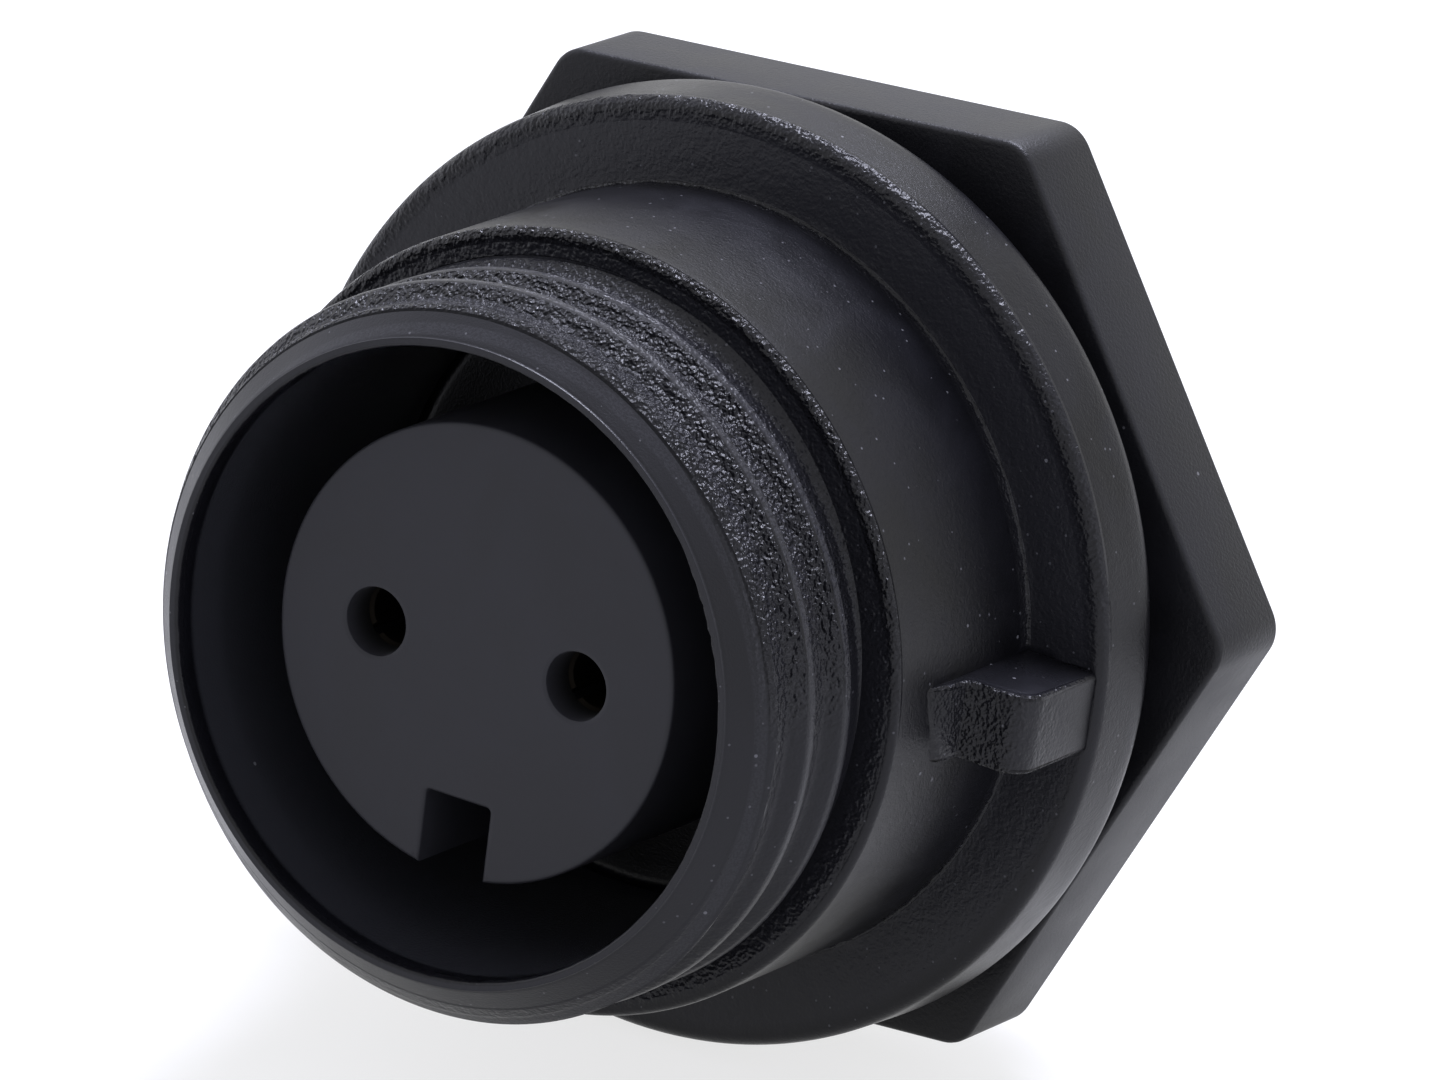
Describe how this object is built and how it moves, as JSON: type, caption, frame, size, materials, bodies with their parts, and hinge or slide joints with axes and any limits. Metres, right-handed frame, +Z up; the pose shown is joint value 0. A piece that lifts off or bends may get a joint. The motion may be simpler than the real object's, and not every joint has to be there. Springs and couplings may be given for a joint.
{
  "type": "circular connector",
  "caption": "Black panel-mount circular connector: threaded coupling barrel over a keyed insert with socket contacts, round flange with a locating lug, hex panel nut behind.",
  "frame": {"origin": "centre of the back face of the flange, where the panel seats", "axes": "-Y out of the mating end along the connector's axis, +Y behind the panel, +Z up with the keyway at the bottom, +X to the locating lug"},
  "size_m": [0.0276, 0.0251, 0.0252],
  "materials": {
    "shell_plastic": "black moulded plastic, satin, with a spark-eroded texture on the thread",
    "insert_plastic": "black moulded plastic, even satin",
    "contact_gold": "gold-plated turned brass",
    "seal_rubber": "black rubber, dull",
    "ring_steel": "bright spring steel",
    "nut_plastic": "black moulded plastic, fine matt"
  },
  "bodies": {
    "connector": {"shell": "shell_plastic", "contact_insert": "insert_plastic", "contact_left": "contact_gold", "contact_right": "contact_gold", "insert_seal": "seal_rubber", "retaining_ring": "ring_steel"},
    "gasket": {"panel_gasket": "seal_rubber"},
    "nut": {"hex_nut": "nut_plastic"}
  },
  "joints": [
    {"name": "nut_travel", "type": "slide", "parent": "connector", "child": "gasket", "axis": [0, 1, 0], "range_m": [0, 0.00651]},
    {"name": "nut_turn", "type": "hinge", "parent": "gasket", "child": "nut", "pos_m": [0, 0, 0], "axis": [0, 1, 0], "range_deg": [0, 2340]}
  ],
  "couplings": [
    {"joint": "nut_travel", "follows": "nut_turn", "m_per_rad": 0.00015915}
  ]
}
